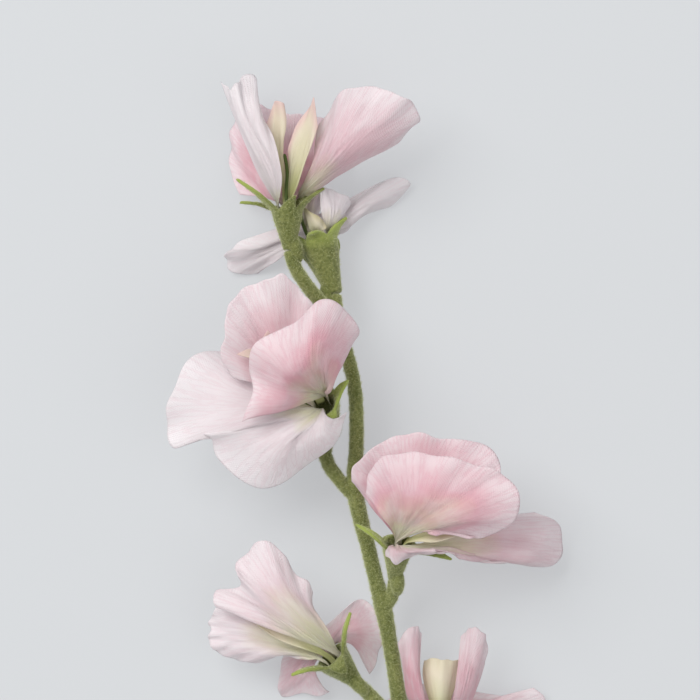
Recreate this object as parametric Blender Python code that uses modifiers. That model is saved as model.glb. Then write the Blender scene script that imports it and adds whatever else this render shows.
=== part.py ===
"""A cut sweet pea spray lying on a table: one stem with six blossoms on short side stalks.

The spray lies along Y with its cut end at -Y, on the table at z = 0; its flowers look up and to the sides.
Lengths are in millimetres until the last step, which moves the origin below the middle and turns them to metres.
Every petal is a fan of ribs: each rib runs from the petal's claw, inside the calyx, out to its margin.
"""

import math

import bmesh
import bpy
from mathutils import Vector

MM = 0.001
UP = Vector((0, 0, 1))

PETAL_THICKNESS = 0.45
PETAL_COLUMNS = 11
PETAL_ROWS = 8
ROW_CROWDING = 1.25  # above 1, rows lie closer together near the claw
NECK_LENGTH = 2.0  # how far each rib follows the calyx's axis before it turns outward
CLAW_SPREAD = 0.24  # half the width of a claw, as a share of the calyx mouth's radius
CLAW_BOW = 0.12  # how far the middle of a claw curves in toward the axis

CALYX_THICKNESS = 0.4
CALYX_PROFILE = ((0.0, 0.38), (0.14, 0.46), (0.45, 0.66), (0.75, 0.88), (1.0, 1.0))  # height, radius as shares
SEPALS = 5
SEPAL_COLUMNS = 4
SEPAL_ROWS = 4
FIRST_SEPAL_ANGLE = 18
SHORT_SEPAL_REACH = 1.2
SHORT_SEPAL_DROP = 3.0

TUBE_STEPS = 2  # rings between two points of a tube's path
TUBE_ROUNDNESS = 2  # bevel_resolution, which gives twelve sides
PISTIL_RADIUS = 0.45

# Each material's colour and roughness.
MATERIALS = dict(
    standard=((0.86, 0.66, 0.72), 0.75), left_wing=((0.88, 0.68, 0.74), 0.75), right_wing=((0.88, 0.66, 0.72), 0.75),
    keel=((0.86, 0.84, 0.68), 0.75), calyx=((0.20, 0.27, 0.07), 0.9), stem=((0.16, 0.19, 0.06), 0.9),
    pistil=((0.07, 0.12, 0.04), 0.8),
)

# The main stem, from the cut end to the calyx at its tip: x, y, z and radius.
MAIN_STEM = (
    (17.5, -146.0, 1.75, 1.70), (17.0, -128.0, 2.6, 1.65), (15.6, -110.0, 4.6, 1.65), (14.2, -99.0, 6.6, 1.85),
    (12.4, -88.0, 8.6, 1.75), (10.8, -77.0, 10.0, 1.60), (9.2, -67.5, 11.2, 1.60), (7.8, -60.0, 12.2, 1.95),
    (6.2, -54.0, 12.9, 1.60), (4.0, -45.0, 13.8, 1.60), (1.7, -36.0, 14.6, 1.75), (1.2, -31.0, 14.8, 1.85),
    (1.5, -24.0, 15.0, 1.55), (1.6, -15.0, 15.0, 1.50), (0.9, -7.0, 14.8, 1.45), (-1.0, 0.0, 14.4, 1.45),
    (-2.6, 6.0, 14.0, 1.60), (-3.3, 10.5, 13.5, 1.45), (-3.4, 12.6, 13.1, 1.40),
)
SIDE_STALKS = (
    ((-2.6, 7.0, 14.0, 1.3), (-7.0, 11.4, 14.8, 1.45), (-10.6, 15.8, 15.0, 1.45), (-13.2, 20.2, 15.0, 1.4),
     (-13.9, 22.9, 15.0, 1.4)),
    ((1.2, -34.5, 14.6, 1.3), (-3.2, -29.4, 15.0, 1.45), (-5.8, -24.4, 13.6, 1.45), (-4.6, -20.2, 12.8, 1.4),
     (-3.4, -18.6, 14.4, 1.4), (-3.9, -17.6, 16.0, 1.4)),
    ((8.0, -60.5, 12.3, 1.3), (9.8, -57.8, 13.4, 1.45), (10.3, -55.6, 14.5, 1.4), (10.4, -54.1, 15.3, 1.35)),
    ((13.4, -92.0, 7.8, 1.3), (9.0, -85.6, 9.3, 1.5), (5.0, -81.2, 10.1, 1.5), (2.0, -78.3, 10.4, 1.4)),
    ((14.4, -101.0, 6.3, 1.3), (16.8, -99.4, 6.8, 1.5), (18.8, -97.4, 7.2, 1.45), (19.4, -95.2, 7.5, 1.4)),
)

# Each blossom: the base and mouth of its calyx, the mouth's radius, its five sepal tips in order round the mouth
# (None for a short one pressed back) and its petals. A petal's seat is the angle and the distance from the middle
# of the mouth, as a share of its radius. A rib lists points out to the margin.
BLOSSOMS = (
    dict(
        base=(-14.0, 23.2, 15.0), mouth=(-14.6, 32.5, 15.5), radius=3.5,
        sepals=((-5.8, 37.6, 13.6), (-12.6, 35.6, 20.4), (-26.5, 39.6, 17.5), (-25.8, 34.2, 14.0), (-9.2, 36.6, 12.4)),
        petals=dict(
            standard=dict(seat=(270, 0.56), ribs=(
                ((-19.5, 35.6, 10.0), (-25.2, 36.2, 6.0)),
                ((-22.0, 40.0, 7.5), (-28.4, 45.8, 0.7)),
                ((-21.0, 44.0, 8.0), (-27.4, 53.0, 2.0)),
                ((-18.0, 45.0, 9.4), (-21.4, 57.8, 6.0)),
                ((-14.5, 44.0, 9.0), (-15.0, 55.2, 9.0)),
                ((-10.5, 44.5, 9.4), (-8.6, 54.6, 6.0)),
                ((-6.5, 43.0, 8.0), (-0.5, 51.5, 0.8)),
                ((-8.0, 38.2, 9.5), (-1.8, 42.4, 4.0)),
            )),
            left_wing=dict(seat=(180, 0.52), ribs=(
                ((-21.0, 41.0, 13.5), (-26.0, 53.0, 13.5), (-29.3, 62.6, 16.0)),
                ((-20.3, 42.0, 16.8), (-25.2, 53.0, 18.4), (-27.6, 60.2, 19.0)),
                ((-19.0, 42.0, 19.6), (-23.8, 52.5, 21.8), (-26.0, 61.5, 21.0)),
                ((-17.4, 41.5, 21.0), (-21.3, 51.0, 22.6), (-23.3, 64.2, 18.0)),
                ((-15.6, 40.2, 21.0), (-17.4, 47.2, 22.0), (-22.0, 57.5, 16.4)),
            )),
            right_wing=dict(seat=(0, 0.52), ribs=(
                ((-9.8, 40.5, 17.0), (-7.2, 51.6, 18.6)),
                ((-7.5, 44.0, 20.0), (-3.0, 57.6, 23.0)),
                ((-5.5, 45.0, 22.2), (1.0, 60.8, 26.0)),
                ((-3.5, 45.2, 23.8), (7.2, 60.2, 28.0)),
                ((-1.5, 44.8, 24.2), (13.0, 58.4, 27.0)),
                ((-0.5, 43.6, 23.2), (15.9, 52.3, 22.0)),
                ((-2.0, 41.4, 21.0), (8.0, 48.2, 17.0)),
                ((-5.8, 38.8, 17.5), (0.4, 41.8, 13.6)),
            )),
            keel=dict(seat=(90, 0.12), ribs=(
                ((-16.6, 41.0, 17.0), (-20.0, 50.6, 17.2)),
                ((-16.6, 45.0, 16.2), (-17.0, 58.8, 19.0)),
                ((-15.6, 43.0, 15.8), (-16.0, 52.0, 16.8)),
                ((-14.7, 39.0, 15.8), (-14.4, 44.2, 15.6)),
                ((-13.4, 43.0, 16.2), (-12.0, 52.2, 17.8)),
                ((-11.8, 44.0, 18.0), (-7.8, 58.6, 22.0)),
                ((-11.2, 40.0, 18.8), (-7.6, 52.0, 22.4)),
            )),
        ),
        pistil=((-14.6, 33.0, 17.4), (-14.8, 37.0, 17.8), (-14.5, 41.5, 18.0), (-15.2, 45.6, 18.8)),
    ),
    dict(
        base=(-3.5, 12.9, 13.0), mouth=(-7.4, 25.2, 10.0), radius=4.5,
        sepals=((-0.6, 30.8, 10.0), (-8.6, 27.0, 16.8), (-14.2, 26.8, 10.4), None, None),
        petals=dict(
            standard=dict(seat=(270, 0.56), ribs=(
                ((-13.6, 23.4, 6.0), (-19.0, 19.4, 3.6), (-22.0, 17.2, 0.7)),
                ((-15.0, 24.2, 5.8), (-23.0, 20.4, 4.0), (-27.4, 18.4, 1.4)),
                ((-15.0, 25.4, 5.4), (-23.0, 23.0, 5.0), (-28.5, 23.0, 3.0)),
                ((-13.6, 27.2, 5.4), (-20.5, 24.4, 6.2), (-25.8, 25.2, 5.8)),
                ((-9.0, 29.0, 5.6), (-8.6, 32.0, 4.8)),
                ((-4.0, 30.0, 5.8), (2.2, 36.4, 5.0)),
                ((-1.6, 30.2, 6.2), (6.0, 36.2, 5.6), (13.5, 40.8, 3.0)),
                ((-0.6, 29.0, 6.2), (5.0, 33.2, 4.4), (11.0, 34.6, 0.8)),
                ((-1.8, 27.4, 6.2), (3.8, 31.8, 1.6)),
            )),
            left_wing=dict(seat=(190, 0.52), ribs=(
                ((-11.2, 31.5, 9.4), (-12.0, 38.0, 7.0)),
                ((-10.8, 33.0, 8.4), (-11.5, 42.0, 4.6)),
                ((-9.6, 34.0, 8.4), (-8.0, 43.0, 4.4)),
                ((-8.4, 33.0, 9.4), (-6.4, 39.5, 5.8)),
                ((-7.8, 30.4, 10.8), (-6.7, 34.4, 10.2)),
            )),
            right_wing=dict(seat=(0, 0.52), ribs=(
                ((-5.9, 31.0, 12.4), (-6.9, 36.8, 13.0)),
                ((-4.8, 31.4, 13.4), (-5.6, 37.6, 12.6)),
                ((-3.6, 31.4, 12.8), (-3.0, 37.2, 10.6)),
                ((-2.8, 30.8, 11.6), (-0.2, 35.2, 8.4)),
                ((-3.0, 29.6, 10.4), (-1.4, 32.6, 7.6)),
            )),
            keel=dict(seat=(90, 0.2), ribs=(
                ((-9.5, 28.9, 13.2), (-10.6, 34.0, 12.4)),
                ((-8.5, 29.6, 14.0), (-9.6, 32.8, 14.0)),
                ((-7.6, 29.4, 14.4), (-8.0, 31.6, 14.8)),
                ((-6.7, 28.8, 14.0), (-6.4, 30.2, 14.2)),
                ((-6.2, 27.6, 13.4), (-5.4, 28.4, 13.4)),
            )),
        ),
        pistil=((-9.6, 26.0, 11.9), (-10.6, 28.4, 12.8), (-11.2, 30.2, 12.6), (-11.5, 32.0, 12.0)),
    ),
    dict(
        base=(-3.9, -17.5, 16.2), mouth=(-6.5, -12.5, 24.0), radius=4.0,
        sepals=((-0.2, -7.2, 25.0), None, None, None, (-5.6, -4.6, 22.0)),
        petals=dict(
            standard=dict(seat=(120, 0.56), ribs=(
                ((-18.0, -9.4, 24.4), (-29.6, -0.4, 23.4)),
                ((-21.0, -10.0, 25.4), (-36.4, -1.6, 25.6)),
                ((-22.4, -12.4, 26.6), (-41.0, -9.6, 26.8)),
                ((-22.4, -14.6, 27.4), (-42.5, -17.0, 25.4)),
                ((-21.4, -16.8, 27.6), (-40.4, -22.7, 23.4)),
                ((-11.4, -15.8, 27.8), (-20.0, -17.8, 27.0), (-33.0, -19.6, 26.0)),
                ((-10.6, -16.4, 28.4), (-19.0, -20.2, 27.8), (-30.4, -25.2, 23.4)),
                ((-9.4, -16.8, 28.6), (-15.6, -22.6, 28.4), (-21.0, -33.0, 21.0)),
                ((-8.2, -16.8, 28.8), (-11.8, -21.4, 28.2), (-11.5, -27.8, 22.0)),
                ((-6.6, -16.4, 29.0), (-6.2, -19.4, 28.6), (-4.4, -22.0, 25.6)),
                ((-5.0, -15.6, 28.8), (-2.6, -16.0, 28.4), (-1.0, -14.6, 27.2)),
            )),
            left_wing=dict(seat=(200, 0.54), ribs=(
                ((-17.5, -9.0, 27.2), (-27.2, -6.6, 29.0)),
                ((-18.5, -6.0, 26.8), (-29.5, -0.5, 30.0)),
                ((-18.5, -3.0, 26.4), (-29.0, 7.2, 29.4)),
                ((-17.5, 0.0, 26.2), (-24.7, 13.6, 28.6)),
                ((-15.0, 1.4, 26.4), (-17.4, 17.3, 30.0)),
                ((-12.2, 1.0, 27.0), (-11.8, 14.2, 29.4)),
                ((-9.8, -2.0, 27.4), (-7.5, 9.6, 28.0)),
            )),
            right_wing=dict(seat=(0, 0.5), ribs=(
                ((-14.5, -13.6, 30.6), (-20.0, -13.9, 31.6), (-24.9, -15.7, 30.6)),
                ((-15.5, -10.5, 34.2), (-23.0, -9.6, 33.2)),
                ((-15.0, -7.0, 36.8), (-22.8, -2.2, 34.2)),
                ((-13.0, -4.5, 38.6), (-16.6, 4.4, 36.2)),
                ((-10.5, -3.0, 39.2), (-11.0, 8.0, 37.0)),
                ((-8.0, -2.0, 38.6), (-5.8, 11.4, 35.4)),
                ((-5.8, -3.0, 37.0), (-0.4, 7.9, 32.8)),
                ((-4.6, -5.5, 34.0), (0.9, 3.0, 28.8)),
                ((-4.6, -8.4, 30.8), (-2.2, -5.4, 27.2)),
            )),
            keel=dict(seat=(270, 0.35), ribs=(
                ((-12.0, -9.4, 30.2), (-16.5, -5.4, 31.4), (-21.0, -2.8, 31.6), (-26.0, -1.3, 32.0)),
                ((-12.4, -7.4, 29.2), (-17.2, -2.8, 29.4), (-22.2, 0.6, 30.6)),
                ((-11.6, -5.4, 30.4), (-15.6, 0.0, 31.0), (-18.8, 4.6, 32.2)),
            )),
        ),
        pistil=(),
    ),
    dict(
        base=(10.4, -53.8, 15.6), mouth=(11.2, -45.5, 21.5), radius=3.4,
        sepals=((23.6, -48.9, 21.4), None, (1.4, -40.8, 22.6), None, None),
        petals=dict(
            standard=dict(seat=(90, 0.56), ribs=(
                ((8.8, -45.6, 26.0), (8.2, -47.6, 26.6)),
                ((10.4, -46.8, 27.0), (11.4, -49.2, 26.0)),
                ((13.2, -47.0, 27.4), (15.5, -48.4, 26.4)),
                ((16.0, -46.6, 26.8), (21.6, -46.2, 25.8)),
                ((17.2, -46.4, 25.6), (23.6, -46.2, 24.2), (30.0, -49.2, 21.0), (36.0, -50.1, 17.0)),
                ((17.5, -46.2, 25.2), (30.0, -47.8, 21.4), (45.0, -50.3, 13.6)),
                ((17.0, -46.0, 24.8), (31.0, -45.4, 20.4), (50.4, -48.2, 12.4)),
                ((16.4, -45.8, 24.6), (31.0, -42.4, 20.0), (49.0, -41.6, 13.0)),
                ((15.4, -45.4, 24.4), (20.0, -43.6, 23.0), (31.0, -39.4, 19.6), (42.4, -38.0, 15.4)),
            )),
            left_wing=dict(seat=(270, 0.56), ribs=(
                ((6.5, -38.4, 22.4), (1.4, -32.6, 23.2)),
                ((7.0, -34.2, 23.2), (0.6, -27.6, 24.8)),
                ((10.0, -32.2, 24.6), (6.4, -21.8, 26.4)),
                ((13.5, -31.5, 25.8), (13.4, -19.2, 27.2)),
                ((17.0, -32.0, 26.2), (21.0, -20.6, 26.8)),
                ((20.5, -33.5, 25.6), (31.4, -22.4, 25.4)),
                ((22.0, -35.5, 24.6), (35.0, -28.0, 24.0)),
                ((19.4, -38.6, 23.4), (30.0, -36.0, 22.6)),
            )),
            right_wing=dict(seat=(180, 0.12), ribs=(
                ((8.4, -39.2, 27.0), (3.6, -33.0, 28.0)),
                ((10.0, -36.2, 30.0), (5.0, -27.4, 30.0)),
                ((13.0, -35.2, 32.6), (11.5, -23.6, 33.0)),
                ((16.5, -35.2, 34.2), (19.8, -24.0, 34.4)),
                ((20.0, -36.0, 35.2), (28.8, -27.0, 34.0)),
                ((22.5, -37.5, 35.2), (36.5, -29.0, 33.4)),
                ((23.5, -39.5, 34.2), (39.3, -36.0, 31.0)),
                ((21.5, -41.3, 32.4), (31.5, -44.2, 29.6)),
                ((17.0, -41.8, 30.4), (24.5, -42.2, 30.8)),
            )),
            keel=dict(seat=(10, 0.5), ribs=(
                ((16.0, -42.4, 27.4), (22.0, -41.0, 28.2), (27.0, -40.2, 29.4)),
                ((16.0, -43.4, 25.9), (21.6, -42.2, 26.2), (27.6, -41.4, 28.0)),
                ((15.6, -44.6, 27.2), (20.0, -44.7, 28.4), (24.6, -43.2, 28.8)),
            )),
        ),
        pistil=(),
    ),
    dict(
        base=(1.7, -78.0, 10.5), mouth=(-4.0, -72.0, 13.5), radius=3.9,
        sepals=((0.4, -61.4, 14.0), None, (-13.6, -76.2, 14.6), None, None),
        petals=dict(
            standard=dict(seat=(270, 0.56), ribs=(
                ((-2.4, -68.6, 7.8), (0.6, -69.4, 6.4), (4.8, -76.4, 3.6)),
                ((-2.2, -67.8, 8.0), (1.6, -67.6, 6.2), (7.6, -70.8, 2.0)),
                ((-2.4, -67.0, 8.2), (1.6, -65.6, 6.0), (6.6, -64.0, 0.7)),
                ((-3.2, -66.4, 8.6), (-0.8, -63.6, 6.2), (1.6, -57.7, 0.9)),
                ((-5.4, -67.6, 9.2), (-5.0, -65.6, 7.8)),
                ((-7.6, -69.6, 9.2), (-13.0, -69.4, 6.6)),
                ((-8.8, -71.4, 8.8), (-11.8, -72.8, 7.4), (-16.0, -76.0, 4.0)),
                ((-9.0, -72.4, 8.4), (-11.6, -75.2, 6.4), (-17.0, -82.0, 0.8)),
                ((-8.8, -73.2, 8.2), (-9.8, -76.2, 6.0), (-10.8, -81.0, 1.4)),
                ((-8.2, -73.8, 8.0), (-7.4, -76.6, 5.8), (-4.6, -79.8, 3.0)),
            )),
            left_wing=dict(seat=(180, 0.54), ribs=(
                ((-13.0, -67.5, 13.2), (-22.0, -62.4, 12.2), (-30.4, -58.8, 11.6)),
                ((-14.0, -68.6, 13.6), (-24.0, -65.0, 14.0), (-32.6, -63.4, 12.0)),
                ((-14.0, -69.7, 14.0), (-24.0, -68.2, 14.4), (-32.4, -68.8, 10.6)),
                ((-13.0, -70.9, 14.2), (-20.0, -71.0, 14.0), (-24.0, -73.1, 10.0)),
                ((-11.0, -71.8, 14.0), (-15.0, -71.4, 12.4)),
            )),
            right_wing=dict(seat=(40, 0.5), ribs=(
                ((-4.4, -66.4, 18.0), (-8.0, -60.0, 18.6), (-8.6, -56.2, 17.0)),
                ((-6.4, -65.4, 19.4), (-12.0, -57.0, 20.6), (-14.0, -49.6, 19.4)),
                ((-8.0, -65.2, 20.2), (-15.0, -57.0, 22.0), (-20.7, -44.2, 20.4)),
                ((-9.4, -65.2, 20.6), (-18.0, -57.5, 22.0), (-26.4, -50.0, 18.4)),
                ((-10.6, -65.6, 20.8), (-18.0, -60.0, 21.4), (-24.6, -54.2, 19.4)),
                ((-11.6, -66.4, 20.2), (-20.0, -61.0, 20.6), (-32.0, -56.4, 17.0)),
                ((-11.4, -67.4, 19.0), (-18.0, -64.4, 18.8), (-27.2, -61.2, 16.6)),
            )),
            keel=dict(seat=(135, 0.12), ribs=(
                ((-10.5, -67.2, 16.2), (-16.0, -63.8, 16.0), (-20.4, -61.4, 16.0)),
                ((-10.6, -68.6, 15.9), (-16.2, -66.0, 15.8), (-21.6, -63.8, 15.9)),
                ((-10.4, -70.0, 17.0), (-15.6, -68.2, 17.0), (-19.0, -66.4, 17.2)),
            )),
        ),
        pistil=(),
    ),
    dict(
        base=(19.5, -94.8, 7.6), mouth=(20.9, -87.0, 9.6), radius=3.8,
        sepals=((27.6, -84.6, 11.4), (21.4, -83.4, 16.2), (14.4, -84.4, 11.8), None, None),
        petals=dict(
            standard=dict(seat=(270, 0.56), ribs=(
                ((16.2, -85.8, 4.8), (13.0, -89.0, 3.0), (10.4, -92.6, 0.9)),
                ((15.4, -85.2, 5.0), (10.6, -87.0, 3.4), (5.6, -87.6, 0.8)),
                ((16.4, -84.6, 4.8), (9.4, -82.4, 1.4)),
                ((21.0, -82.6, 5.4), (21.0, -78.6, 5.0)),
                ((26.0, -84.0, 5.4), (37.0, -82.2, 3.2)),
                ((27.0, -85.4, 4.8), (36.0, -83.2, 4.4), (43.6, -79.8, 3.0)),
                ((26.6, -86.0, 4.8), (36.0, -87.4, 3.8), (46.0, -86.0, 0.8)),
                ((26.0, -86.4, 4.8), (31.0, -90.0, 3.4), (38.0, -94.0, 0.8)),
            )),
            left_wing=dict(seat=(165, 0.52), ribs=(
                ((14.2, -82.0, 12.0), (12.5, -74.0, 13.6), (11.4, -68.6, 14.0)),
                ((15.6, -82.0, 14.4), (14.0, -73.0, 16.6), (14.0, -64.8, 16.0)),
                ((17.0, -82.4, 15.0), (15.4, -74.4, 17.0), (15.6, -64.6, 15.4)),
                ((18.0, -82.8, 14.8), (16.4, -76.0, 16.0), (16.6, -66.4, 13.8)),
            )),
            right_wing=dict(seat=(15, 0.52), ribs=(
                ((23.8, -82.8, 14.8), (25.2, -76.0, 16.2), (26.2, -66.8, 14.0)),
                ((25.2, -82.2, 14.8), (27.0, -74.6, 17.0), (28.6, -64.8, 15.0)),
                ((26.6, -82.2, 13.4), (29.0, -75.0, 15.6), (31.8, -67.4, 13.4)),
                ((27.6, -83.0, 11.0), (29.8, -77.6, 11.6), (31.0, -73.4, 10.4)),
            )),
            keel=dict(seat=(90, 0.1), ribs=(
                ((18.8, -82.0, 12.4), (17.2, -76.0, 12.6), (17.4, -72.6, 12.4)),
                ((20.0, -82.0, 13.8), (19.2, -76.0, 14.8), (19.4, -72.2, 14.0)),
                ((21.0, -82.0, 14.4), (21.0, -76.0, 15.6), (21.2, -72.6, 14.8)),
                ((22.2, -82.0, 13.8), (22.8, -76.0, 14.8), (23.2, -72.2, 14.0)),
                ((23.2, -82.0, 12.4), (24.8, -76.0, 12.6), (25.4, -72.4, 12.4)),
            )),
        ),
        pistil=(),
    ),
)


def slope(before, here, after, before_step, after_step):
    """The direction and speed of a smooth curve where it passes through the middle one of three points."""
    return (here - before) / before_step - (after - before) / (before_step + after_step) + (after - here) / after_step


def curve_point(points, t):
    """The point at t, from 0 to 1, on a smooth curve through all the points that doesn't loop at a short step."""
    place = min(max(t, 0.0), 1.0) * (len(points) - 1)
    i = min(int(place), len(points) - 2)
    t = place - i
    p1, p2 = points[i], points[i + 1]
    p0 = points[i - 1] if i > 0 else p1 * 2 - p2
    p3 = points[i + 2] if i + 2 < len(points) else p2 * 2 - p1
    steps = [max(math.sqrt((b - a).length), 1e-4) for a, b in ((p0, p1), (p1, p2), (p2, p3))]
    start = slope(p0, p1, p2, steps[0], steps[1]) * steps[1]
    end = slope(p1, p2, p3, steps[1], steps[2]) * steps[1]
    return (
        p1 * (2 * t**3 - 3 * t**2 + 1) + start * (t**3 - 2 * t**2 + t)
        + p2 * (3 * t**2 - 2 * t**3) + end * (t**3 - t**2)
    )


def along(points, shares):
    """Points on the smooth curve at these shares of its length."""
    fine = [curve_point(points, i / 60) for i in range(61)]
    lengths = [0.0]
    for a, b in zip(fine, fine[1:]):
        lengths.append(lengths[-1] + (b - a).length)
    found = []
    for share in shares:
        goal = share * lengths[-1]
        i = max(k for k in range(60) if lengths[k] <= goal + 1e-9)
        part = (goal - lengths[i]) / max(lengths[i + 1] - lengths[i], 1e-9)
        found.append(fine[i].lerp(fine[i + 1], min(part, 1.0)))
    return found


def make_material(name):
    """A matt material with the sub-part's colour."""
    colour, roughness = MATERIALS[name]
    material = bpy.data.materials.new(name)
    material.use_nodes = True
    shader = material.node_tree.nodes["Principled BSDF"]
    shader.inputs["Base Color"].default_value = (*colour, 1.0)
    shader.inputs["Roughness"].default_value = roughness
    shader.inputs["Metallic"].default_value = 0.0
    return material


def add_object(name, mesh, kind, root):
    """Puts a mesh in the spray as one named sub-part of this kind, shaded smooth."""
    mesh.shade_smooth()
    mesh.materials.clear()
    mesh.materials.append(bpy.data.materials.get(kind) or make_material(kind))
    obj = bpy.data.objects.new(name, mesh)
    obj.parent = root
    root.users_collection[0].objects.link(obj)
    return obj


def sheet_mesh(name, points, faces):
    """An open surface through points in millimetres."""
    mesh = bpy.data.meshes.new(name)
    mesh.from_pydata([tuple(p * MM) for p in points], [], faces)
    return mesh


def thicken(obj, thickness, offset):
    """Turns the sheet into a closed body."""
    modifier = obj.modifiers.new("thickness", "SOLIDIFY")
    modifier.thickness = thickness * MM
    modifier.offset = offset
    return obj


def calyx_frame(base, mouth):
    """The calyx's axis, its direction across to the right, and the direction it turns toward the sky."""
    axis = (mouth - base).normalized()
    facing = (UP - axis * UP.dot(axis)).normalized()
    return axis, axis.cross(facing), facing


def make_petal(name, kind, blossom, petal, root):
    """A petal as a grid: one column for each share of the way across its ribs, rows from claw to margin."""
    base, mouth = Vector(blossom["base"]), Vector(blossom["mouth"])
    axis, across, facing = calyx_frame(base, mouth)
    angle, reach = math.radians(petal["seat"][0]), petal["seat"][1]
    outward = across * math.cos(angle) + facing * math.sin(angle)
    sideways = facing * math.cos(angle) - across * math.sin(angle)
    ribs = [[Vector(p) for p in rib] for rib in petal["ribs"]]
    if sideways.dot(ribs[-1][0] - ribs[0][0]) < 0:
        sideways.negate()
    seat = mouth + outward * reach * blossom["radius"] - axis * 1.2
    half = sideways * CLAW_SPREAD * blossom["radius"]

    shares = [(k / (PETAL_ROWS - 1)) ** ROW_CROWDING for k in range(PETAL_ROWS)]
    rib_rows = []
    for number, rib in enumerate(ribs):
        side = 2 * number / (len(ribs) - 1) - 1
        claw = seat + half * side - outward * CLAW_BOW * (1 - side * side)
        rib_rows.append(along([claw, claw + axis * NECK_LENGTH] + rib, shares))

    points = []
    for row in range(PETAL_ROWS):
        across_row = [rows[row] for rows in rib_rows]
        points += [curve_point(across_row, c / (PETAL_COLUMNS - 1)) for c in range(PETAL_COLUMNS)]
    faces = []
    for row in range(PETAL_ROWS - 1):
        for c in range(PETAL_COLUMNS - 1):
            i = row * PETAL_COLUMNS + c
            faces.append((i, i + 1, i + PETAL_COLUMNS + 1, i + PETAL_COLUMNS))
    return thicken(add_object(name, sheet_mesh(name, points, faces), kind, root), PETAL_THICKNESS, 0)


def make_calyx(name, blossom, root):
    """A cup that widens from its base to its mouth, with five pointed sepals standing on the rim."""
    base, mouth, radius = Vector(blossom["base"]), Vector(blossom["mouth"]), blossom["radius"]
    axis, across, facing = calyx_frame(base, mouth)
    base = base + axis * 0.35
    around = SEPALS * SEPAL_COLUMNS

    def outward(column):
        angle = math.radians(FIRST_SEPAL_ANGLE) + 2 * math.pi * (column / SEPAL_COLUMNS - 0.5) / SEPALS
        return across * math.cos(angle) + facing * math.sin(angle)

    points = [base]
    faces = []
    for height, width in CALYX_PROFILE:
        middle = base.lerp(mouth, height)
        points += [middle + outward(c) * radius * width for c in range(around)]
    for c in range(around):
        faces.append((0, 1 + (c + 1) % around, 1 + c))
    for row in range(len(CALYX_PROFILE) - 1):
        for c in range(around):
            a = 1 + row * around + c
            b = 1 + row * around + (c + 1) % around
            faces.append((a, b, b + around, a + around))

    rim = 1 + (len(CALYX_PROFILE) - 1) * around
    for number, tip in enumerate(blossom["sepals"]):
        feet = [rim + (number * SEPAL_COLUMNS + k) % around for k in range(SEPAL_COLUMNS + 1)]
        middle = mouth + outward((number + 0.5) * SEPAL_COLUMNS) * radius
        if tip is None:
            out = (middle - mouth).normalized()
            tip = middle + out * SHORT_SEPAL_REACH - axis * SHORT_SEPAL_DROP
            bend = middle + out * SHORT_SEPAL_REACH - axis * SHORT_SEPAL_DROP * 0.3
        else:
            tip = Vector(tip)
            bend = middle.lerp(tip, 0.45) + axis * 0.6
        below = feet
        for row in range(1, SEPAL_ROWS):
            share = row / SEPAL_ROWS
            spine = along([middle, bend, tip], [share])[0]
            width = (1 - share) ** 0.8
            first = len(points)
            for foot in feet:
                points.append(spine + (points[foot] - middle) * width)
            above = list(range(first, first + SEPAL_COLUMNS + 1))
            for k in range(SEPAL_COLUMNS):
                faces.append((below[k], below[k + 1], above[k + 1], above[k]))
            below = above
        points.append(tip)
        for k in range(SEPAL_COLUMNS):
            faces.append((below[k], below[k + 1], len(points) - 1))
    return thicken(add_object(name, sheet_mesh(name, points, faces), "calyx", root), CALYX_THICKNESS, 1)


def tube_mesh(name, path):
    """A closed round tube along a smooth path of points, each with its radius."""
    curve = bpy.data.curves.new(name, "CURVE")
    curve.dimensions = "3D"
    curve.resolution_u = TUBE_STEPS
    curve.bevel_depth = MM
    curve.bevel_resolution = TUBE_ROUNDNESS
    curve.use_fill_caps = True
    spline = curve.splines.new("BEZIER")
    spline.bezier_points.add(len(path) - 1)
    for point, (x, y, z, radius) in zip(spline.bezier_points, path):
        point.co = Vector((x, y, z)) * MM
        point.radius = radius
        point.handle_left_type = point.handle_right_type = "AUTO"
    guide = bpy.data.objects.new(name, curve)
    bpy.context.scene.collection.objects.link(guide)
    mesh = bpy.data.meshes.new_from_object(guide.evaluated_get(bpy.context.evaluated_depsgraph_get()))
    bpy.data.objects.remove(guide)
    bm = bmesh.new()
    bm.from_mesh(mesh)
    bmesh.ops.remove_doubles(bm, verts=bm.verts, dist=MM * 0.01)
    bm.to_mesh(mesh)
    bm.free()
    return mesh


def make_stem(root):
    """The main stem and its side stalks, grown together as one body."""
    stem = add_object("stem", tube_mesh("stem", MAIN_STEM), "stem", root)
    stalks = bpy.data.collections.new("side_stalks")
    bpy.context.scene.collection.children.link(stalks)
    for number, path in enumerate(SIDE_STALKS, 1):
        stalk = bpy.data.objects.new(f"stalk_{number}", tube_mesh(f"stalk_{number}", path))
        stalk.parent = root
        stalk.hide_render = True
        stalk.display_type = "WIRE"
        stalks.objects.link(stalk)
        union = stem.modifiers.new(stalk.name, "BOOLEAN")
        union.operation = "UNION"
        union.solver = "EXACT"
        union.object = stalk
    return stem


def place_on_table(root):
    """Moves the spray so that the origin lies below its middle, at its lowest point."""
    graph = bpy.context.evaluated_depsgraph_get()
    corners = []
    for obj in root.children:
        if not obj.hide_render:
            corners += [vertex.co.copy() for vertex in obj.evaluated_get(graph).data.vertices]
    xs, ys, zs = ([corner[axis] for corner in corners] for axis in range(3))
    root.location = (-(min(xs) + max(xs)) / 2, -(min(ys) + max(ys)) / 2, -min(zs))


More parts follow.
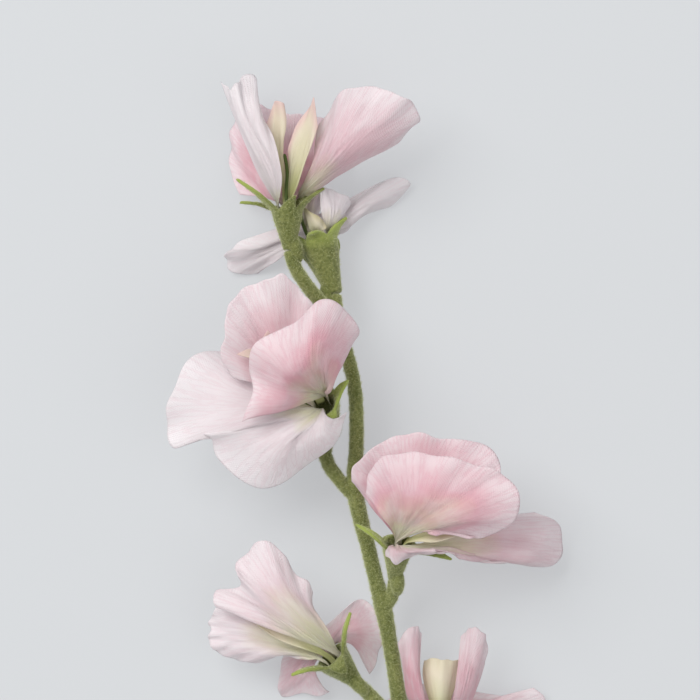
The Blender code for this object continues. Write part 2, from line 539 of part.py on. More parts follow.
def main():
    spray = bpy.data.collections.new("sweet_pea_spray")
    bpy.context.scene.collection.children.link(spray)
    root = bpy.data.objects.new("spray_root", None)
    spray.objects.link(root)
    make_stem(root)
    for number, blossom in enumerate(BLOSSOMS, 1):
        make_calyx(f"blossom_{number}_calyx", blossom, root)
        for kind, petal in blossom["petals"].items():
            make_petal(f"blossom_{number}_{kind}", kind, blossom, petal, root)
        if blossom["pistil"]:
            name = f"blossom_{number}_pistil"
            path = [(*point, PISTIL_RADIUS) for point in blossom["pistil"]]
            add_object(name, tube_mesh(name, path), "pistil", root)
    place_on_table(root)


for old in list(bpy.data.objects):
    bpy.data.objects.remove(old)
main()
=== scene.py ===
"""How the sweet pea spray looks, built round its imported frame.

Each petal is read back from its CAD node as a grid of points from claw to margin. The grid
is refined into a fine sheet, given swells, a ruffled margin and sometimes a fold, and made
thin again. The stem and the calyxes are smoothed copies of their nodes under a coat of short
hairs. The spray lies on a pale floor, and the camera looks straight down on its upper part.
"""

import math
import random

import bmesh
import bpy
import numpy as np
from mathutils import Matrix, Vector
from mathutils.kdtree import KDTree


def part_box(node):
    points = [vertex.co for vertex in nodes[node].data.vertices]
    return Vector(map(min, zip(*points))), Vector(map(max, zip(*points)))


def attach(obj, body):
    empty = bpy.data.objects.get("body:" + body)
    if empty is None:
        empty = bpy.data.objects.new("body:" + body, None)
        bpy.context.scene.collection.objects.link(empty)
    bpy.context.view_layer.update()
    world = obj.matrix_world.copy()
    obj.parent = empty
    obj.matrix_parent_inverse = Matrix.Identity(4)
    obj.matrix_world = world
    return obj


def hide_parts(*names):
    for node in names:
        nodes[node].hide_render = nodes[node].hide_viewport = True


MM = 0.001
BLOSSOMS = range(1, 7)

# How a petal's CAD sheet is laid out: its grid of points, and how its rows crowd toward the claw.
CAD_THICKNESS = 0.45 * MM
CAD_COLUMNS = 11
CAD_ROWS = 8
CAD_CROWDING = 1.25
LENGTH_TOLERANCE = 0.2e-6
SAME_POINT = 0.1e-6

# How fine and how lively the visible petal is.
COLUMNS = 96
ROWS = 64
THICKNESS = 0.2 * MM
FULL_WIDTH = 26 * MM  # a narrower petal gets fewer and lower waves

# The waves on a petal: how high each kind is, and how many of them run across a full-width petal.
SWELL = 0.35 * MM
SWELL_COUNT = 2.5
RUFFLE = 1.25 * MM
RUFFLE_COUNT = 3.2
FRILL = 0.25 * RUFFLE
FRILL_COUNT = 8
GATHER = 0.15 * MM
GATHER_COUNT = 11
GATHER_PATCHES = 4
MARGIN_WANDER = 0.5 * MM
WANDER_COUNT = 3
FINE_WANDER_COUNT = 9
RUFFLE_START = 0.35  # as a share of the way from the claw to the margin
SIDE_RUFFLE_START = 0.25
WAVES_SUMMED = 5  # sines that make up one set of irregular waves

# The skins of the stem and calyxes: the spacing of their points, their rounds of smoothing, and
# their lumps' depth and breadth with how far out the whole skin moves.
STEM_GRAIN = 0.28 * MM
STEM_SOFTENING = 6
STEM_LUMPS = (0.10 * MM, 1.1 * MM, 0.2 * MM)
CALYX_GRAIN = 0.13 * MM
CALYX_SOFTENING = 4
CALYX_LUMPS = (0.05 * MM, 0.8 * MM, 0.2 * MM)

# The rounded body at a calyx's base: half its width and half its length.
SLEEVE_RADIUS = 1.5 * MM
SLEEVE_REACH = 3.4 * MM

# The flock.
HAIR_LENGTH = 0.75 * MM
SHORTEST_HAIR = 0.5  # as a share of HAIR_LENGTH
HAIR_WIDTH = 0.085 * MM
HAIR_SIDES = 3
HAIR_LEAN = 0.45
STEM_HAIRS = 30000
CALYX_HAIRS = 2400

# How pink each petal is, from white at 0 to full pink at 1, and how far its cream base reaches.
PETAL_TINTS = {
    "blossom_1_standard": (0.80, 0.10),
    "blossom_1_left_wing": (0.08, 0.15),
    "blossom_1_right_wing": (0.56, 0.42),
    "blossom_2_standard": (0.05, 0.15),
    "blossom_2_left_wing": (0.10, 0.60),
    "blossom_2_right_wing": (0.08, 0.60),
    "blossom_3_standard": (0.14, 0.30),
    "blossom_3_left_wing": (0.55, 0.15),
    "blossom_3_right_wing": (0.90, 0.55),
    "blossom_4_standard": (0.55, 0.55),
    "blossom_4_left_wing": (0.92, 0.15),
    "blossom_4_right_wing": (0.95, 0.62),
    "blossom_5_standard": (0.60, 0.20),
    "blossom_5_left_wing": (0.22, 0.68),
    "blossom_5_right_wing": (0.40, 0.68),
    "blossom_6_standard": (0.60, 0.25),
    "blossom_6_left_wing": (0.85, 0.20),
    "blossom_6_right_wing": (0.65, 0.25),
}

# Where a petal's end is turned down: a point of the fold as shares of the petal's box, the
# direction it drops toward in degrees from +X, and how steep it is.
FOLDS = {
    "blossom_1_left_wing": ((0.45, 0.82), 60, 0.7),
    "blossom_1_right_wing": ((0.81, 0.66), -66, 0.9),
    "blossom_3_right_wing": ((0.72, 0.56), -15, 0.6),
    "blossom_3_standard": ((0.25, 0.82), 70, 0.6),
    "blossom_4_standard": ((0.85, 0.37), -31, 1.1),
    "blossom_4_left_wing": ((0.81, 0.80), 60, 0.5),
}
FOLD_SOFTNESS = 0.7 * MM

# The colour of each keel's tip, in light values. Blossom 2's tip is its cream darkened to olive as painted
# shade.
PINK_TIP = (0.84, 0.66, 0.62, 1.0)
CREAM_TIP = (0.80, 0.74, 0.58, 1.0)
# Cream darkened to olive: painted shade on blossom 2's keel tip.
SHADED_CREAM_TIP = (0.62, 0.56, 0.36, 1.0)
KEEL_TIPS = {1: PINK_TIP, 2: SHADED_CREAM_TIP, 3: PINK_TIP, 4: CREAM_TIP, 5: CREAM_TIP, 6: CREAM_TIP}

# Steps between the places in the noise where one petal or keel and the next take their patterns.
PETAL_SEED_STEP = 3.7
KEEL_SEED_STEP = 2.3

# Colours as they are shown on a screen.
PETAL_WHITE = (250, 246, 248)
PETAL_PINK = (235, 174, 187)
PETAL_BASE = (240, 238, 206)
PETAL_VEIN = (228, 162, 180)
WEAVE_WHITE = (255, 250, 252)
KEEL_BASE = (204, 206, 146)
KEEL_MIDDLE = (230, 226, 196)
KEEL_PALE = (238, 230, 210)
STEM_DARK = (84, 92, 44)
STEM_LIGHT = (130, 134, 82)
SEPAL_GREEN = (150, 164, 82)
FLOCK_SHEEN = (226, 230, 190)
FUZZ = (196, 201, 152)
PISTIL_GREEN = (70, 84, 40)
FLOOR_GREY = (142, 145, 147)
FLOOR_GLOW = (226, 227, 230)
SKY = (244, 245, 246)

# Noise spots per metre on the flock.
FLOCK_MOTTLE = 160.0
FLOCK_GRAIN = 1500.0

# The stage: the camera sees a square FIELD wide at FIELD_HEIGHT above the floor. The middle of that
# square lies so far right of the leftmost petal and so far below the highest one.
CAMERA_LENS = 300.0
SENSOR = 36.0
CLIP_END = 20.0
FIELD = 163 * MM
FIELD_HEIGHT = 18 * MM
RIGHT_OF_LEFTMOST = 42.6 * MM
BELOW_HIGHEST = 64.3 * MM
FLOOR_REACH = 3.0
FLOOR_GLOW_STRENGTH = 0.5
KEY_PLACE = Vector((-0.7, 0.7, 1.3))
KEY_SIZE = 1.0
KEY_POWER = 19.5
KEY_COLOUR = (1.0, 0.99, 0.97)
FILL_PLACE = Vector((0.8, -0.3, 1.5))
FILL_SIZE = 1.5
FILL_POWER = 4.5
FILL_COLOUR = (1.0, 0.99, 0.98)
SKY_STRENGTH = 0.60


def display(red, green, blue):
    """A colour as it is shown on a screen, turned into the light values that a shader takes."""
    shares = [value / 255 for value in (red, green, blue)]
    return [s / 12.92 if s <= 0.04045 else ((s + 0.055) / 1.055) ** 2.4 for s in shares] + [1.0]


# ---------------------------------------------------------------- petals


def two_skins(mesh):
    """The faces of a petal's two broad sides: what is left without its thin edge.

    Only the faces of the thin edge have a side that is exactly as long as the petal is thick.
    """
    rim = set()
    for edge in mesh.edges:
        if abs(edge.calc_length() - CAD_THICKNESS) < LENGTH_TOLERANCE:
            rim.update(edge.link_faces)
    unseen = [face for face in mesh.faces if face not in rim]
    skins = []
    seen = set()
    for first in unseen:
        if first in seen:
            continue
        seen.add(first)
        skin, waiting = [first], [first]
        while waiting:
            for edge in waiting.pop().edges:
                for face in edge.link_faces:
                    if face not in rim and face not in seen:
                        seen.add(face)
                        skin.append(face)
                        waiting.append(face)
        skins.append(skin)
    return skins


def outline(skin):
    """The skin's border vertices in order."""
    inside = set(skin)
    following = {}
    for face in skin:
        for corner in face.loops:
            if sum(other in inside for other in corner.edge.link_faces) == 1:
                following[corner.vert] = corner.link_loop_next.vert
    ring = [next(iter(following))]
    while following[ring[-1]] is not ring[0]:
        ring.append(following[ring[-1]])
    return ring


def grid_of(skin):
    """The skin's points as rows from the claw to the margin, or None if it isn't a whole grid."""
    border = 2 * (CAD_COLUMNS + CAD_ROWS - 2)
    corners = {vert for face in skin for vert in face.verts}
    if len(corners) != CAD_COLUMNS * CAD_ROWS or len(skin) != 2 * (CAD_COLUMNS - 1) * (CAD_ROWS - 1):
        return None
    ring = outline(skin)
    if len(ring) != border:
        return None
    steps = [(ring[(k + 1) % border].co - ring[k].co).length for k in range(border)]
    # The claw is the shortest stretch of the border that is one row of points long.
    stretches = [sum(steps[(k + c) % border] for c in range(CAD_COLUMNS - 1)) for k in range(border)]
    claw = stretches.index(min(stretches))

    # Each next point is the one that lies beside both the last point of its row and the one below it.
    edges = {edge for face in skin for edge in face.edges}
    beside = {vert: set() for vert in corners}
    for edge in edges:
        first, second = edge.verts
        beside[first].add(second)
        beside[second].add(first)

    rows = [[ring[(claw + c) % border] for c in range(CAD_COLUMNS)]]
    used = set(rows[0])
    for number in range(1, CAD_ROWS):
        row = [ring[(claw - number) % border]]
        used.add(row[0])
        for c in range(1, CAD_COLUMNS):
            found = (beside[row[-1]] & beside[rows[-1][c]]) - used
            if len(found) != 1:
                return None
            row.append(found.pop())
            used.add(row[-1])
        rows.append(row)
    return np.array([[vert.co[:] for vert in row] for row in rows])


def petal_grid(node):
    """A petal node's sheet as an array of points: rows from claw to margin, columns across."""
    mesh = bmesh.new()
    mesh.from_mesh(node.data)
    bmesh.ops.remove_doubles(mesh, verts=mesh.verts, dist=SAME_POINT)
    mesh.normal_update()
    # The skin that faces up comes first. Either will do, if its points make a whole grid.
    skins = sorted(two_skins(mesh), key=lambda skin: -sum(face.normal.z for face in skin))
    grids = [grid for grid in map(grid_of, skins) if grid is not None]
    mesh.free()
    if not grids:
        raise SystemExit(f"{node.name} isn't a sheet of {CAD_ROWS} by {CAD_COLUMNS} points")
    return grids[0]


def smooth_through(points, places):
    """A smooth curve through points, read at places counted in steps between the points."""
    before = 2 * points[:1] - points[1:2]
    after = 2 * points[-1:] - points[-2:-1]
    padded = np.concatenate([before, points, after])
    start = np.minimum(places.astype(int), len(points) - 2)
    t = (places - start).reshape(-1, *[1] * (points.ndim - 1))
    p0, p1, p2, p3 = (padded[start + k] for k in range(4))
    cubic = 3 * (p1 - p2) + p3 - p0
    square = 2 * p0 - 5 * p1 + 4 * p2 - p3
    return p1 + 0.5 * t * (p2 - p0 + t * (square + t * cubic))


def swells(rng, across, along, count):
    """Soft irregular waves, mostly between -1 and 1, with about count of them across a petal."""
    total = np.zeros_like(across)
    for _ in range(WAVES_SUMMED):
        turns = rng.uniform(0.55, 1.15) * count * across + rng.uniform(-0.3, 0.3) * count * along
        total += np.sin(2 * math.pi * turns + rng.uniform(0, 2 * math.pi))
    return total / (WAVES_SUMMED / 2)


def unit(vectors):
    """Each vector of a grid at length one."""
    return vectors / np.maximum(np.linalg.norm(vectors, axis=2, keepdims=True), 1e-12)


def surface_normals(points):
    """The unit normal at each point of a grid."""
    return unit(np.cross(np.gradient(points, axis=1), np.gradient(points, axis=0)))


def widths(points):
    """The length of each row of a grid."""
    return np.linalg.norm(np.diff(points, axis=1), axis=2).sum(1)


def lively(points, rng):
    """The sheet with soft swells, a ruffled and slightly uneven margin, and gathers along its length."""
    across, along = np.meshgrid(np.linspace(0, 1, COLUMNS), np.linspace(0, 1, ROWS))
    size = min(1.0, widths(points).max() / FULL_WIDTH)

    # How free the cloth is: 0 near the claw, 1 at the margin and at the outer part of both sides.
    toward_margin = np.clip((along - RUFFLE_START) / (1 - RUFFLE_START), 0, 1)
    toward_side = np.abs(2 * across - 1) ** 3 * np.clip((along - SIDE_RUFFLE_START) / 0.5, 0, 1)
    free = np.maximum(toward_margin**1.6, toward_side)

    height = SWELL * swells(rng, across, along, SWELL_COUNT * size) * np.clip(along / 0.5, 0, 1)
    height += RUFFLE * free * swells(rng, across, along, RUFFLE_COUNT * size)
    height += FRILL * free**2 * swells(rng, across, along, FRILL_COUNT * size)
    gathered = swells(rng, across, along, GATHER_COUNT * size)
    gathered *= swells(rng, across, along, GATHER_PATCHES)
    height += GATHER * gathered * np.sin(math.pi * np.clip(along * 1.1, 0, 1))

    uneven = swells(rng, across, along, WANDER_COUNT * size)
    uneven += 0.5 * swells(rng, across, along, FINE_WANDER_COUNT * size)
    wander = MARGIN_WANDER * along**5 * uneven
    rise = surface_normals(points) * (size * height)[..., None]
    return points + rise + unit(np.gradient(points, axis=0)) * (size * wander)[..., None]


def folded(points, place, direction, slope):
    """The sheet with the part beyond a line turned down, and a soft bend along the line."""
    low, high = points.min((0, 1)), points.max((0, 1))
    x = points[..., 0] - low[0] - place[0] * (high[0] - low[0])
    y = points[..., 1] - low[1] - place[1] * (high[1] - low[1])
    angle = math.radians(direction)
    beyond = (x * math.cos(angle) + y * math.sin(angle)) / FOLD_SOFTNESS
    drop = slope * FOLD_SOFTNESS * np.logaddexp(0, beyond)
    return points - drop[..., None] * (0, 0, 1)


def sheet_object(name, points):
    """A mesh through a grid of points, mapped across and along, and also in millimetres of cloth."""
    rows, columns = points.shape[:2]
    faces = []
    for row in range(rows - 1):
        for column in range(columns - 1):
            corner = row * columns + column
            faces.append((corner, corner + 1, corner + columns + 1, corner + columns))
    mesh = bpy.data.meshes.new(name)
    mesh.from_pydata(points.reshape(-1, 3).tolist(), [], faces)
    width = widths(points).max() / MM
    length = widths(points.swapaxes(0, 1)).max() / MM
    corners = np.array(faces).reshape(-1)
    share = np.stack([(corners % columns) / (columns - 1), (corners // columns) / (rows - 1)], axis=1)
    mesh.uv_layers.new(name="petal").data.foreach_set("uv", share.ravel())
    mesh.uv_layers.new(name="cloth").data.foreach_set("uv", (share * (width, length)).ravel())
    mesh.shade_smooth()
    obj = bpy.data.objects.new(name, mesh)
    bpy.context.scene.collection.objects.link(obj)
    return obj


def thicken(obj, thickness):
    """Turns the sheet into a closed body."""
    modifier = obj.modifiers.new("thickness", "SOLIDIFY")
    modifier.thickness = thickness
    modifier.offset = 0


def make_petal(node, material):
    """The visible petal that stands for a CAD petal."""
    rng = random.Random(node.name)
    grid = petal_grid(node)
    rows = (CAD_ROWS - 1) * np.linspace(0, 1, ROWS) ** (1 / CAD_CROWDING)
    columns = (CAD_COLUMNS - 1) * np.linspace(0, 1, COLUMNS)
    points = smooth_through(grid, rows)
    points = smooth_through(points.swapaxes(0, 1), columns).swapaxes(0, 1)
    points = lively(points, rng)
    if node.name in FOLDS:
        points = folded(points, *FOLDS[node.name])
    points[..., 2] = np.maximum(points[..., 2], THICKNESS)  # stays above the floor
    obj = sheet_object("visible_" + node.name, points)
    thicken(obj, THICKNESS)
    obj.data.materials.append(material)
    return obj


# ---------------------------------------------------------------- stem, calyxes and pistils


def copy_of(node):
    """A copy of a CAD node's mesh with its doubled vertices joined."""
    mesh = bmesh.new()
    mesh.from_mesh(node.data)
    bmesh.ops.remove_doubles(mesh, verts=mesh.verts, dist=0.001 * MM)
    return mesh


def object_from(name, mesh):
    """A smooth-shaded object from a bmesh, which is used up."""
    data = bpy.data.meshes.new(name)
    mesh.to_mesh(data)
    mesh.free()
    data.shade_smooth()
    obj = bpy.data.objects.new(name, data)
    bpy.context.scene.collection.objects.link(obj)
    return obj


def applied(obj):
    """Replaces an object's mesh with what its modifiers make of it."""
    graph = bpy.context.evaluated_depsgraph_get()
    made = bpy.data.meshes.new_from_object(obj.evaluated_get(graph))
    obj.modifiers.clear()
    obj.data = made
    made.shade_smooth()


def stalk_ends(stem, calyxes):
    """Where each calyx comes nearest to the stem."""
    tree = KDTree(len(stem.data.vertices))
    for vert in stem.data.vertices:
        tree.insert(vert.co, vert.index)
    tree.balance()
    ends = []
    for calyx in calyxes:
        nearest = min(calyx.data.vertices, key=lambda vert: tree.find(vert.co)[2])
        ends.append(nearest.co.copy())
    return ends


def add_sleeve(mesh, base):
    """Adds a long rounded body round a calyx's base, so that the calyx tapers onto its stalk."""
    middle = sum((vert.co for vert in mesh.verts), Vector()) / len(mesh.verts)
    turn = (middle - base).to_track_quat("Z", "Y").to_matrix().to_4x4()
    size = Matrix.Diagonal((SLEEVE_RADIUS, SLEEVE_RADIUS, SLEEVE_REACH, 1.0))
    place = Matrix.Translation(base) @ turn @ size
    bmesh.ops.create_icosphere(mesh, subdivisions=4, radius=1.0, matrix=place)


def soft_skin(obj, grain, softening):
    """Joins all of an object's bodies into one even skin with soft edges."""
    remesh = obj.modifiers.new("one skin", "REMESH")
    remesh.mode = "VOXEL"
    remesh.voxel_size = grain
    soften = obj.modifiers.new("soft edges", "SMOOTH")
    soften.iterations = softening
    applied(obj)


def roughen(obj, depth, breadth, plumpness):
    """Gives the surface fine lumps, and moves it outward as a whole."""
    lumps = bpy.data.textures.new(obj.name + "_lumps", "CLOUDS")
    lumps.noise_scale = breadth
    lumps.noise_depth = 2
    displace = obj.modifiers.new("lumps", "DISPLACE")
    displace.texture = lumps
    displace.strength = 2 * depth
    displace.mid_level = 0.5 - plumpness / (2 * depth)
    applied(obj)


def make_stem(node, material):
    """The stem and its stalks as one soft, slightly uneven skin, which stays above the floor."""
    obj = object_from("visible_stem", copy_of(node))
    soft_skin(obj, STEM_GRAIN, STEM_SOFTENING)
    roughen(obj, *STEM_LUMPS)
    for vert in obj.data.vertices:
        vert.co.z = max(vert.co.z, 0.0)
    obj.data.materials.append(material)
    return obj


def make_calyx(node, base, material):
    """A calyx with soft edges and a slightly lumpy skin, which stores how far out each point is."""
    mesh = copy_of(node)
    add_sleeve(mesh, base)
    obj = object_from("visible_" + node.name, mesh)
    soft_skin(obj, CALYX_GRAIN, CALYX_SOFTENING)
    roughen(obj, *CALYX_LUMPS)
    distances = np.array([(vert.co - base).length for vert in obj.data.vertices])
    reach = obj.data.attributes.new("reach", "FLOAT", "POINT")
    reach.data.foreach_set("value", distances / distances.max())
    obj.data.materials.append(material)
    return obj


def make_pistil(node, material):
    """A smooth pistil."""
    obj = object_from("visible_" + node.name, copy_of(node))
    rounding = obj.modifiers.new("rounding", "SUBSURF")
    rounding.levels = 2
    applied(obj)
    obj.data.materials.append(material)
    return obj


def make_hairs(skin, count, material):
    """Short pointed hairs that stand out of a skin, evenly spread, and none that reach below the floor."""
    rng = random.Random(skin.name)
    faces = skin.data.polygons
    chosen = rng.choices(range(len(faces)), weights=[face.area for face in faces], k=count)
    verts = []
    sides = []
    for index in chosen:
        face = faces[index]
        lean = Vector(rng.gauss(0, HAIR_LEAN) for _ in range(3))
        way = (face.normal + lean).normalized()
        side = way.orthogonal().normalized() * HAIR_WIDTH / 2
        other = way.cross(side)
        root = face.center - face.normal * HAIR_WIDTH
        tip = root + way * HAIR_LENGTH * rng.uniform(SHORTEST_HAIR, 1.0)
        if tip.z < 0:
            continue
        first = len(verts)
        for turn in range(HAIR_SIDES):
            angle = 2 * math.pi * turn / HAIR_SIDES
            verts.append(root + side * math.cos(angle) + other * math.sin(angle))
        verts.append(tip)
        sides.append(tuple(reversed(range(first, first + HAIR_SIDES))))
        for turn in range(HAIR_SIDES):
            sides.append((first + turn, first + (turn + 1) % HAIR_SIDES, first + HAIR_SIDES))
    mesh = bpy.data.meshes.new(skin.name + "_hairs")
    mesh.from_pydata(verts, [], sides)
    obj = bpy.data.objects.new(mesh.name, mesh)
    bpy.context.scene.collection.objects.link(obj)
    mesh.materials.append(material)
    return obj


# ---------------------------------------------------------------- materials


def add_node(tree, kind, inputs=None, **settings):
    """A shader node with its settings. Each input is linked to a socket or given a value."""
    made = tree.nodes.new("ShaderNode" + kind)
    for name, value in settings.items():
        setattr(made, name, value)
    for name, value in (inputs or {}).items():
        if isinstance(value, bpy.types.NodeSocket):
            tree.links.new(value, made.inputs[name])
        else:
            made.inputs[name].default_value = value
    return made


def empty_material(name):
    """A material with nothing in it but its output."""
    material = bpy.data.materials.new(name)
    material.use_nodes = True
    material.node_tree.nodes.clear()
    return material, material.node_tree, add_node(material.node_tree, "OutputMaterial")


def calculate(tree, operation, first, second=0.0, clamp=False):
    """The result socket of a calculation on two values."""
    values = {0: first, 1: second}
    return add_node(tree, "Math", values, operation=operation, use_clamp=clamp).outputs[0]


def blend(tree, share, first, second):
    """The colour socket between two colours."""
    mix = add_node(tree, "Mix", {0: share, 6: first, 7: second}, data_type="RGBA")
    return mix.outputs[2]


def ramp(tree, share, stops):
    """The colour socket of a ramp through stops, each a place and a colour."""
    made = add_node(tree, "ValToRGB", {"Fac": share})
    elements = made.color_ramp.elements
    while len(elements) < len(stops):
        elements.new(0.5)
    for element, (place, colour) in zip(elements, stops):
        element.position = place
        element.color = colour
    return made.outputs["Color"]


def grey(value):
    """A ramp colour that carries a plain value."""
    return [value, value, value, 1.0]


def about_zero(tree, noise, strength):
    """Noise that varies about a half, made to vary about zero and as much as its strength says."""
    return calculate(tree, "MULTIPLY", calculate(tree, "SUBTRACT", noise, 0.5), strength)


def stretched_noise(tree, uv, across, along, detail, seed):
    """Noise drawn out along a petal, with so many spots across and along it."""
    moved = {"Vector": uv, "Location": (seed, seed, 0), "Scale": (across, along, 1)}
    place = add_node(tree, "Mapping", moved)
    noise = add_node(tree, "TexNoise", {"Vector": place.outputs[0], "Scale": 1.0, "Detail": detail})
    return noise.outputs["Fac"]


def cloth_weave(tree):
    """A fine two-way weave, as a height."""
    uv = add_node(tree, "UVMap", uv_map="cloth").outputs[0]
    heights = []
    for turn in (0.6, 0.6 + math.pi / 2):
        place = add_node(tree, "Mapping", {"Vector": uv, "Rotation": (0, 0, turn)})
        inputs = {"Vector": place.outputs[0], "Scale": 0.62, "Distortion": 0.6, "Detail": 1.0}
        heights.append(add_node(tree, "TexWave", inputs).outputs["Fac"])
    return calculate(tree, "MULTIPLY", *heights)


def thin_cloth(tree, output, colour, bump, roughness):
    """Cloth that lets some light through, linked to the output."""
    cloth = add_node(tree, "BsdfPrincipled", {"Base Color": colour, "Normal": bump.outputs[0]})
    cloth.inputs["Roughness"].default_value = roughness
    cloth.inputs["Specular IOR Level"].default_value = 0.25
    glow = add_node(tree, "BsdfTranslucent", {"Color": colour})
    mix = add_node(tree, "MixShader", {0: 0.3, 1: cloth.outputs[0], 2: glow.outputs[0]})
    tree.links.new(mix.outputs[0], output.inputs[0])
    return cloth


def petal_material(name, pink, base_reach, seed):
    """Thin printed cloth: a cream base, a pink body with veins, and a pale margin."""
    material, tree, output = empty_material(name)
    uv = add_node(tree, "UVMap", uv_map="petal").outputs[0]
    along = add_node(tree, "SeparateXYZ", {0: uv}).outputs[1]
    patches = stretched_noise(tree, uv, 3.0, 2.4, 4.0, seed)
    place = calculate(tree, "ADD", along, about_zero(tree, patches, 0.5), clamp=True)

    white = display(*PETAL_WHITE)
    full = display(*PETAL_PINK)
    body = blend(tree, pink, white, full)
    rim = blend(tree, 0.3 * pink, white, full)
    fading = ramp(tree, place, [(0.6, grey(0)), (0.95, grey(1))])
    colour = blend(tree, fading, body, rim)
    based = ramp(tree, place, [(0.5 * base_reach, grey(1)), (base_reach + 0.08, grey(0))])
    colour = blend(tree, based, colour, display(*PETAL_BASE))
    clouds = stretched_noise(tree, uv, 5.0, 5.0, 3.0, seed + 3)
    cloudy = ramp(tree, clouds, [(0.42, grey(0)), (0.62, grey(1))])
    colour = blend(tree, calculate(tree, "MULTIPLY", cloudy, 0.28), colour, white)

    streaks = stretched_noise(tree, uv, 46.0, 3.2, 5.0, seed + 7)
    away = calculate(tree, "ABSOLUTE", calculate(tree, "SUBTRACT", streaks, 0.5))
    veins = ramp(tree, away, [(0.0, grey(1)), (0.06, grey(0))])
    vein_share = calculate(tree, "MULTIPLY", veins, 0.08 + 0.16 * pink)
    colour = blend(tree, vein_share, colour, display(*PETAL_VEIN))

    weave = cloth_weave(tree)
    colour = blend(tree, calculate(tree, "MULTIPLY", weave, 0.10), colour, display(*WEAVE_WHITE))
    height = calculate(tree, "ADD", weave, calculate(tree, "MULTIPLY", streaks, 2.5))
    height = calculate(tree, "ADD", height, calculate(tree, "MULTIPLY", veins, -0.6))
    height = calculate(tree, "ADD", height, calculate(tree, "MULTIPLY", cloudy, 1.2))
    bump = add_node(tree, "Bump", {"Height": height, "Strength": 0.7, "Distance": 0.12 * MM})

    cloth = thin_cloth(tree, output, colour, bump, 0.62)
    cloth.inputs["Sheen Weight"].default_value = 0.18
    cloth.inputs["Sheen Roughness"].default_value = 0.4
    return material


def keel_material(name, tip, seed):
    """Cream cloth that changes colour at its tip."""
    material, tree, output = empty_material(name)
    uv = add_node(tree, "UVMap", uv_map="petal").outputs[0]
    along = add_node(tree, "SeparateXYZ", {0: uv}).outputs[1]
    patches = stretched_noise(tree, uv, 2.0, 2.0, 2.0, seed)
    place = calculate(tree, "ADD", along, about_zero(tree, patches, 0.3))
    stops = [
        (0.2, display(*KEEL_BASE)),
        (0.5, display(*KEEL_MIDDLE)),
        (0.8, display(*KEEL_PALE)),
        (1.0, tip),
    ]
    colour = ramp(tree, place, stops)
    streaks = stretched_noise(tree, uv, 26.0, 1.6, 3.0, seed + 7)
    bump = add_node(tree, "Bump", {"Height": streaks, "Strength": 0.4, "Distance": 0.15 * MM})
    thin_cloth(tree, output, colour, bump, 0.6)
    return material


def flocked_material(name, leafy=False):
    """Short dense flock: mottled green with a soft pale sheen. A leafy one turns brighter far out."""
    material, tree, output = empty_material(name)
    place = add_node(tree, "TexCoord").outputs["Object"]
    mottle = add_node(tree, "TexNoise", {"Vector": place, "Scale": FLOCK_MOTTLE, "Detail": 2.0})
    fine = add_node(tree, "TexNoise", {"Vector": place, "Scale": FLOCK_GRAIN, "Detail": 4.0})
    mottle_part = calculate(tree, "MULTIPLY", mottle.outputs["Fac"], 0.35)
    fine_part = calculate(tree, "MULTIPLY", fine.outputs["Fac"], 0.65)
    share = calculate(tree, "ADD", mottle_part, fine_part)
    colour = ramp(tree, share, [(0.36, display(*STEM_DARK)), (0.64, display(*STEM_LIGHT))])
    if leafy:
        reach = add_node(tree, "Attribute", attribute_name="reach").outputs["Fac"]
        far = ramp(tree, reach, [(0.58, grey(0)), (0.85, grey(1))])
        colour = blend(tree, far, colour, display(*SEPAL_GREEN))
    bump = add_node(tree, "Bump", {"Height": fine.outputs["Fac"], "Strength": 0.7, "Distance": 0.3 * MM})
    flock = add_node(tree, "BsdfPrincipled", {"Base Color": colour, "Normal": bump.outputs[0]})
    flock.inputs["Roughness"].default_value = 0.9
    flock.inputs["Specular IOR Level"].default_value = 0.15
    flock.inputs["Sheen Weight"].default_value = 0.8
    flock.inputs["Sheen Roughness"].default_value = 0.5
    flock.inputs["Sheen Tint"].default_value = display(*FLOCK_SHEEN)
    tree.links.new(flock.outputs[0], output.inputs[0])
    return material


def plain_material(name, colour, roughness):
    """One even colour."""
    material, tree, output = empty_material(name)
    shader = add_node(tree, "BsdfPrincipled", {"Base Color": colour, "Roughness": roughness})
    shader.inputs["Specular IOR Level"].default_value = 0.2
    tree.links.new(shader.outputs[0], output.inputs[0])
    return material


# ---------------------------------------------------------------- stage


def make_floor():
    """A wide pale floor that the spray lies on."""
    mesh = bpy.data.meshes.new("floor")
    corners = [(FLOOR_REACH * x, FLOOR_REACH * y, 0) for x, y in ((-1, -1), (1, -1), (1, 1), (-1, 1))]
    mesh.from_pydata(corners, [], [(0, 1, 2, 3)])
    floor = bpy.data.objects.new("floor", mesh)
    bpy.context.scene.collection.objects.link(floor)
    material, tree, output = empty_material("floor")
    matte = add_node(tree, "BsdfPrincipled", {"Base Color": display(*FLOOR_GREY), "Roughness": 0.95})
    matte.inputs["Specular IOR Level"].default_value = 0.0
    matte.inputs["Emission Color"].default_value = display(*FLOOR_GLOW)
    matte.inputs["Emission Strength"].default_value = FLOOR_GLOW_STRENGTH
    tree.links.new(matte.outputs[0], output.inputs[0])
    mesh.materials.append(material)


def make_light(name, place, target, size, power, colour):
    """A square soft light that faces a target."""
    data = bpy.data.lights.new(name, "AREA")
    data.size = size
    data.energy = power
    data.color = colour
    light = bpy.data.objects.new(name, data)
    light.location = place
    light.rotation_mode = "QUATERNION"
    light.rotation_quaternion = (target - place).to_track_quat("-Z", "Y")
    bpy.context.scene.collection.objects.link(light)


def make_camera(centre):
    """A camera that looks straight down on the upper part of the spray."""
    data = bpy.data.cameras.new("camera")
    data.lens = CAMERA_LENS
    data.sensor_width = SENSOR
    data.clip_end = CLIP_END
    camera = bpy.data.objects.new("camera", data)
    distance = FIELD * CAMERA_LENS / SENSOR
    camera.location = (centre.x, centre.y, FIELD_HEIGHT + distance)
    bpy.context.scene.collection.objects.link(camera)
    bpy.context.scene.camera = camera


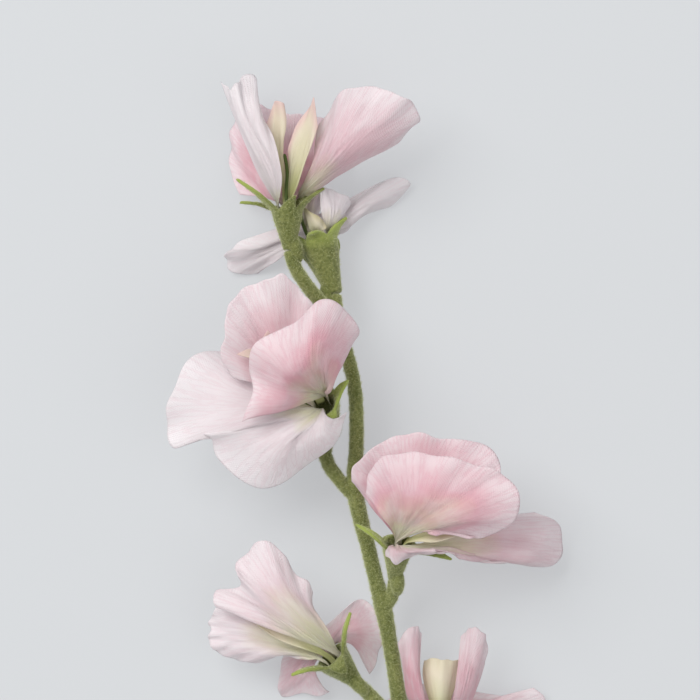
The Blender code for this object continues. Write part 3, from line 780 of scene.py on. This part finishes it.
def make_world(colour, strength):
    """An even light from all round."""
    world = bpy.data.worlds.new("world")
    world.use_nodes = True
    background = world.node_tree.nodes["Background"]
    background.inputs["Color"].default_value = colour
    background.inputs["Strength"].default_value = strength
    bpy.context.scene.world = world


# ---------------------------------------------------------------- the spray


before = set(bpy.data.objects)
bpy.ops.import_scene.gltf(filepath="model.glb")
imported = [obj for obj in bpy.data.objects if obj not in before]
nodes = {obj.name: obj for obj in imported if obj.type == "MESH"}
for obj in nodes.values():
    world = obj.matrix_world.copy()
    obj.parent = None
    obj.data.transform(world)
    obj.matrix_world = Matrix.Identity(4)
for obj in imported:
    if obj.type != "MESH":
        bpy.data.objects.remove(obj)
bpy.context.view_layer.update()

for number, (name, (pink, base_reach)) in enumerate(PETAL_TINTS.items()):
    material = petal_material(name, pink, base_reach, PETAL_SEED_STEP * number)
    petal = make_petal(nodes[name], material)
    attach(petal, "root")
    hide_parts(name)

green_stem = flocked_material("stem")
green_calyx = flocked_material("calyx", leafy=True)
pale_fuzz = plain_material("fuzz", display(*FUZZ), 0.9)
dark_green = plain_material("pistil", display(*PISTIL_GREEN), 0.7)

calyx_nodes = [nodes[f"blossom_{number}_calyx"] for number in BLOSSOMS]
calyx_bases = stalk_ends(nodes["stem"], calyx_nodes)

for number, base in zip(BLOSSOMS, calyx_bases):
    keel_name = f"blossom_{number}_keel"
    material = keel_material(keel_name, KEEL_TIPS[number], KEEL_SEED_STEP * number)
    keel = make_petal(nodes[keel_name], material)
    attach(keel, "root")
    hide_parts(keel_name)

    calyx_name = f"blossom_{number}_calyx"
    calyx = make_calyx(nodes[calyx_name], base, green_calyx)
    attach(calyx, "root")
    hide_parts(calyx_name)
    fuzz = make_hairs(calyx, CALYX_HAIRS, pale_fuzz)
    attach(fuzz, "root")

    pistil_name = f"blossom_{number}_pistil"
    if pistil_name in nodes:
        pistil = make_pistil(nodes[pistil_name], dark_green)
        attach(pistil, "root")
        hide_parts(pistil_name)

stem = make_stem(nodes["stem"], green_stem)
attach(stem, "root")
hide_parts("stem")
stem_fuzz = make_hairs(stem, STEM_HAIRS, pale_fuzz)
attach(stem_fuzz, "root")

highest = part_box("blossom_1_left_wing")[1]
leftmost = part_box("blossom_3_standard")[0]
centre = Vector((leftmost.x + RIGHT_OF_LEFTMOST, highest.y - BELOW_HIGHEST, FIELD_HEIGHT))
make_floor()
make_camera(centre)
make_light("key", KEY_PLACE, centre, KEY_SIZE, KEY_POWER, KEY_COLOUR)
make_light("fill", FILL_PLACE, centre, FILL_SIZE, FILL_POWER, FILL_COLOUR)
make_world(display(*SKY), SKY_STRENGTH)
bpy.context.scene.view_settings.view_transform = "Standard"
